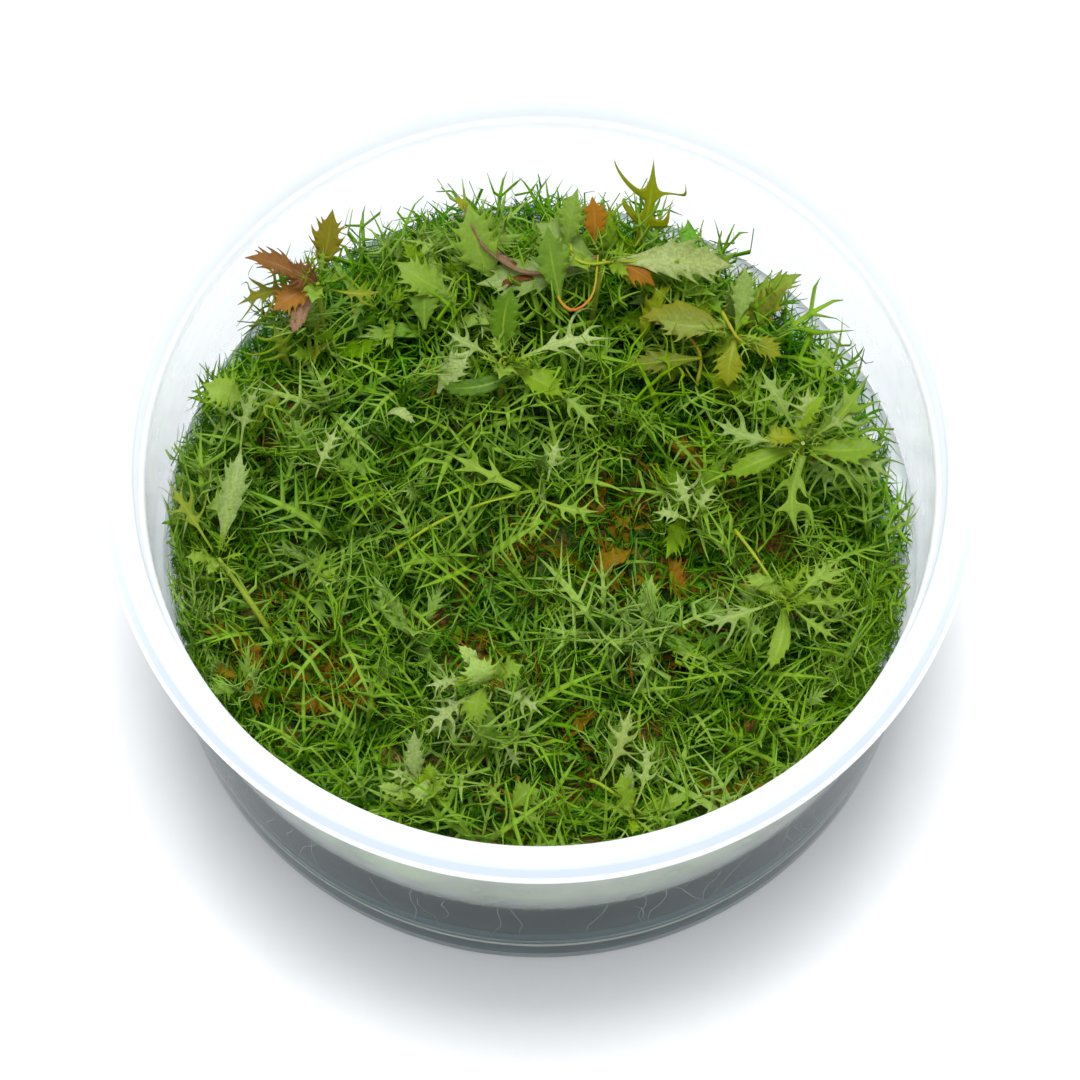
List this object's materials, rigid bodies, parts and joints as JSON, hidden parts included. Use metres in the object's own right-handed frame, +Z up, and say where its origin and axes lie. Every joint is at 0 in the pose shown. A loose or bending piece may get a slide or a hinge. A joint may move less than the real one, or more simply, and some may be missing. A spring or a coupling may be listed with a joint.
{
  "type": "tissue culture mermaid weed",
  "caption": "Carpet of young mermaid weed plantlets with needle-lobed leaves on clear gel, in the round clear plastic cup they were grown in.",
  "frame": {"origin": "centre of the cup's foot, on the surface that it stands on", "axes": "+Z up out of the cup's mouth, -Y towards the front of the pictured view, +X to its right"},
  "size_m": [0.1, 0.1, 0.048],
  "materials": {
    "cup": "clear, slightly milky polypropylene with a bright smooth rim",
    "gel": "clear set growing gel, blue-grey in depth",
    "carpet": "dense fine needle-lobed leaves, bright green over dark green gaps",
    "leaf": "fresh green leaf, satin",
    "leaf_silver": "green leaf with a silvery sheen",
    "leaf_olive": "olive to bronze leaf, satin",
    "leaf_rust": "old leaf, rusty brown to pinkish brown",
    "stem": "yellow-green stem, smooth"
  },
  "bodies": {
    "root": {"cup": "cup", "gel": "gel", "leaf_back_centre_broad": "leaf", "leaf_back_centre_crescent": "leaf_rust", "leaf_back_centre_silver": "leaf_silver", "leaf_back_centre_striped": "leaf_silver", "leaf_back_left_drooping": "leaf_olive", "leaf_back_left_inner": "leaf_olive", "leaf_back_left_rust": "leaf_rust", "leaf_back_left_short": "leaf_rust", "leaf_back_left_upright": "leaf_olive", "leaf_back_right_long": "leaf", "leaf_back_right_low": "leaf", "leaf_back_right_upright": "leaf", "leaf_bed_back_left": "carpet", "leaf_bed_back_right": "carpet", "leaf_bed_centre": "carpet", "leaf_bed_front_left": "carpet", "leaf_bed_front_right": "carpet", "leaf_bed_left": "carpet", "leaf_bed_right": "carpet", "leaf_front_edge_curled": "leaf", "leaf_front_edge_upright": "leaf", "leaf_front_left_blade": "leaf", "leaf_front_left_curled": "leaf", "leaf_front_left_left": "leaf_silver", "leaf_front_left_low": "leaf", "leaf_front_left_right": "leaf", "leaf_front_pale": "leaf_silver", "leaf_front_right_front": "leaf", "leaf_front_right_left": "leaf_silver", "leaf_front_right_low": "leaf", "leaf_front_right_right": "leaf", "leaf_front_side": "leaf", "leaf_left_back": "leaf_silver", "leaf_left_tall": "leaf", "leaf_middle_back": "leaf_silver", "leaf_middle_bright": "leaf", "leaf_middle_silver": "leaf_silver", "leaf_middle_upright": "leaf", "leaf_right_edge_antler": "leaf", "leaf_right_edge_back": "leaf_silver", "leaf_right_edge_front": "leaf", "leaf_right_edge_lance": "leaf", "leaf_right_edge_left": "leaf_silver", "leaf_right_edge_low": "leaf", "leaf_right_edge_serrated": "leaf", "leaf_right_edge_top": "leaf", "leaf_tall_antler": "leaf", "stem_back_centre": "stem", "stem_back_left": "stem", "stem_back_right": "stem", "stem_front": "stem", "stem_front_edge": "stem", "stem_front_left": "stem", "stem_front_right": "stem", "stem_left": "stem", "stem_middle": "stem", "stem_right_edge": "stem"}
  },
  "joints": []
}
